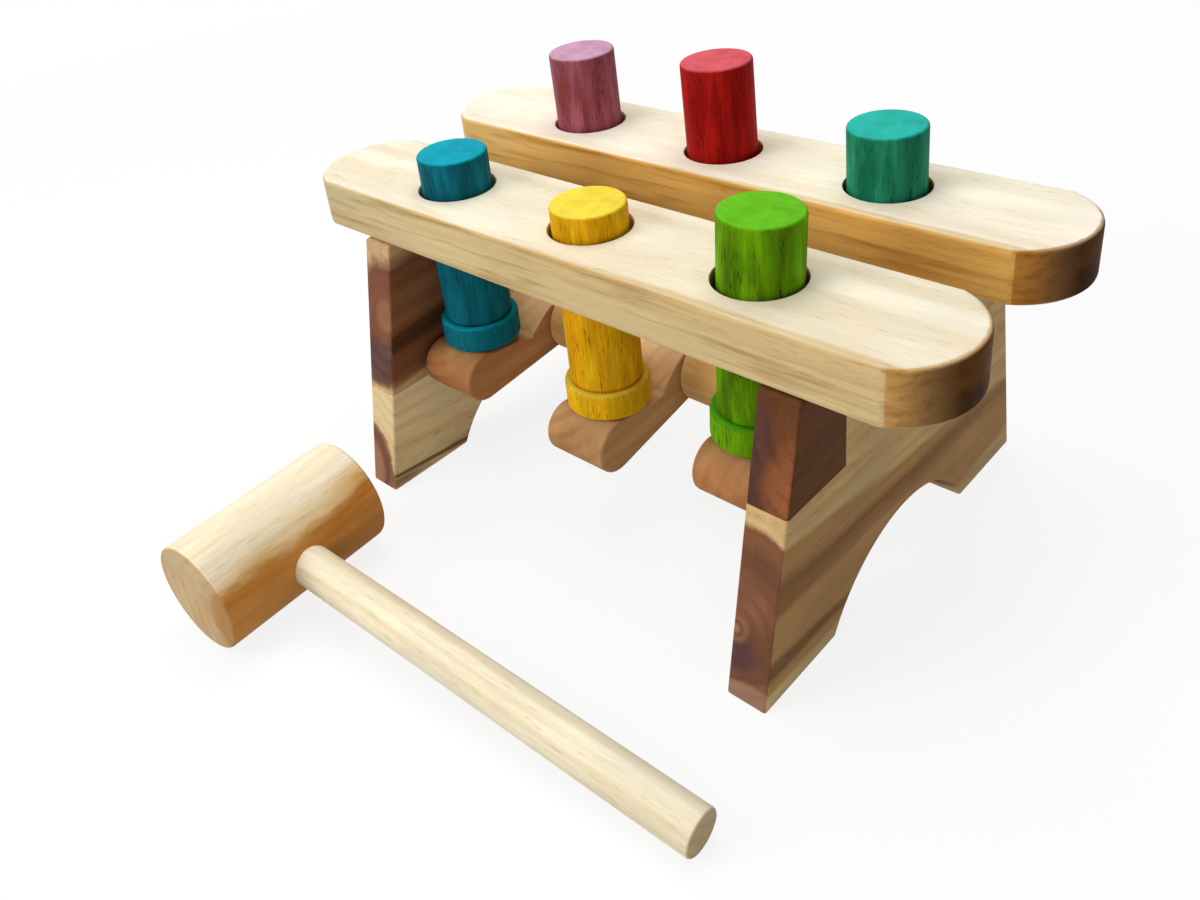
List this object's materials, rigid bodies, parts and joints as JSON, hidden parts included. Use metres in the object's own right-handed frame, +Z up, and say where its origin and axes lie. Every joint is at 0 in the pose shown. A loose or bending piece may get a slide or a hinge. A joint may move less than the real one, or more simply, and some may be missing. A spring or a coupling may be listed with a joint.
{
  "type": "peg pounding bench",
  "caption": "Wooden pounding bench: coloured pegs stand in rails on seesaw rockers, so driving a front peg down lifts its rear partner; a round mallet lies loose in front.",
  "frame": {"origin": "on the floor under the middle of the whole set's box, bench and mallet together", "axes": "+X along the rails to the right as seen from the mallet's side, +Y from the mallet to the bench's rear, +Z up"},
  "size_m": [0.25, 0.2408, 0.1449],
  "materials": {
    "rail_wood": "oiled, planed and sanded",
    "board_wood": "oiled, planed and sanded",
    "heartwood": "oiled, planed and sanded",
    "dowel_wood": "turned, unfinished",
    "axle_wood": "turned, unfinished",
    "spacer_wood": "turned and oiled",
    "rocker_wood": "oiled, sawn and sanded",
    "blue_stain": "stained and lacquered",
    "yellow_stain": "stained and lacquered",
    "green_stain": "stained and lacquered",
    "purple_stain": "stained and lacquered",
    "red_stain": "stained and lacquered",
    "teal_stain": "stained and lacquered",
    "head_wood": "turned and oiled",
    "handle_wood": "turned and sanded"
  },
  "bodies": {
    "bench": {"front_rail": "rail_wood", "rear_rail": "rail_wood", "left_end_board": "board_wood", "right_end_board": "board_wood", "left_corner_block": "heartwood", "right_corner_block": "heartwood", "rail_dowels": "dowel_wood", "axle": "axle_wood", "left_spacer": "spacer_wood", "right_spacer": "spacer_wood"},
    "left_seesaw": {"left_rocker": "rocker_wood"},
    "middle_seesaw": {"middle_rocker": "rocker_wood"},
    "right_seesaw": {"right_rocker": "rocker_wood"},
    "blue_striker": {"blue_peg": "blue_stain"},
    "purple_striker": {"purple_peg": "purple_stain"},
    "yellow_striker": {"yellow_peg": "yellow_stain"},
    "red_striker": {"red_peg": "red_stain"},
    "green_striker": {"green_peg": "green_stain"},
    "teal_striker": {"teal_peg": "teal_stain"},
    "mallet": {"mallet_head": "head_wood", "mallet_handle": "handle_wood"}
  },
  "joints": [
    {"name": "left_rock", "type": "hinge", "parent": "bench", "child": "left_seesaw", "pos_m": [-0.062, 0.04345, 0.0475], "axis": [1, 0, 0], "range_deg": [-25.3, 6.3]},
    {"name": "middle_rock", "type": "hinge", "parent": "bench", "child": "middle_seesaw", "pos_m": [0, 0.04345, 0.0475], "axis": [1, 0, 0], "range_deg": [-31.1, 0.5]},
    {"name": "right_rock", "type": "hinge", "parent": "bench", "child": "right_seesaw", "pos_m": [0.062, 0.04345, 0.0475], "axis": [1, 0, 0], "range_deg": [-15.8, 15.8]},
    {"name": "blue_travel", "type": "slide", "parent": "bench", "child": "blue_striker", "axis": [0, 0, 1], "range_m": [-0.00513, 0.01998]},
    {"name": "purple_travel", "type": "slide", "parent": "bench", "child": "purple_striker", "axis": [0, 0, 1], "range_m": [-0.01972, 0.00506]},
    {"name": "yellow_travel", "type": "slide", "parent": "bench", "child": "yellow_striker", "axis": [0, 0, 1], "range_m": [-0.00059, 0.02452]},
    {"name": "red_travel", "type": "slide", "parent": "bench", "child": "red_striker", "axis": [0, 0, 1], "range_m": [-0.02419, 0.00059]},
    {"name": "green_travel", "type": "slide", "parent": "bench", "child": "green_striker", "axis": [0, 0, 1], "range_m": [-0.01255, 0.01255]},
    {"name": "teal_travel", "type": "slide", "parent": "bench", "child": "teal_striker", "axis": [0, 0, 1], "range_m": [-0.01255, 0.01255]},
    {"name": "mallet_lift", "type": "slide", "parent": "bench", "child": "mallet", "axis": [0, 0, 1], "range_m": [0, 0.2]}
  ],
  "couplings": [
    {"joint": "blue_travel", "follows": "left_rock", "m_per_rad": -0.0448},
    {"joint": "purple_travel", "follows": "left_rock", "m_per_rad": 0.0442},
    {"joint": "yellow_travel", "follows": "middle_rock", "m_per_rad": -0.0448},
    {"joint": "red_travel", "follows": "middle_rock", "m_per_rad": 0.0442},
    {"joint": "green_travel", "follows": "right_rock", "m_per_rad": -0.0448},
    {"joint": "teal_travel", "follows": "right_rock", "m_per_rad": 0.0448}
  ]
}
